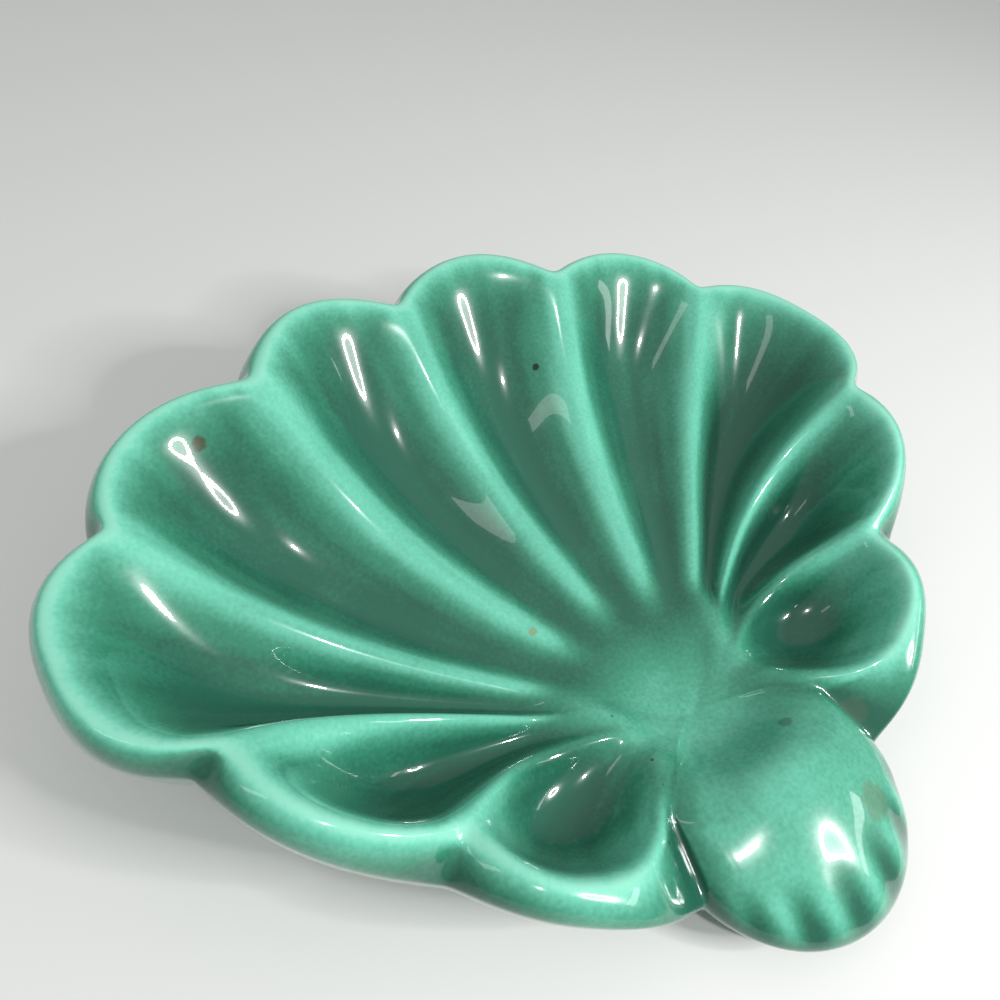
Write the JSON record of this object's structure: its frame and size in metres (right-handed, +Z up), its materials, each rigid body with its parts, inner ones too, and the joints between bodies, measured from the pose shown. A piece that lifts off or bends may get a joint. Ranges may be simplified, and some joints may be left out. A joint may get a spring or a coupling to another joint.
{
  "type": "scallop shell trinket dish",
  "caption": "Open scallop shell dish in glossy green glaze: fluted bowl with a fat scalloped rim, a small round pocket on each side of the neck, and a ribbed knob at the narrow end.",
  "frame": {"origin": "middle of the box of the whole dish in plan, on the plane of its foot", "axes": "+X across the dish, square to its plane of symmetry; +Y from the knob to the middle of the fan; +Z up"},
  "size_m": [0.1796, 0.1516, 0.0357],
  "materials": {
    "fired_clay": "matte bisque",
    "green_glaze": "high gloss glaze, thin on the ridges and pooled in the flutes",
    "underside_green_glaze": "gloss glaze"
  },
  "bodies": {
    "root": {"clay_body": "fired_clay", "glaze_coat": "green_glaze", "underside_glaze": "underside_green_glaze"}
  },
  "joints": []
}
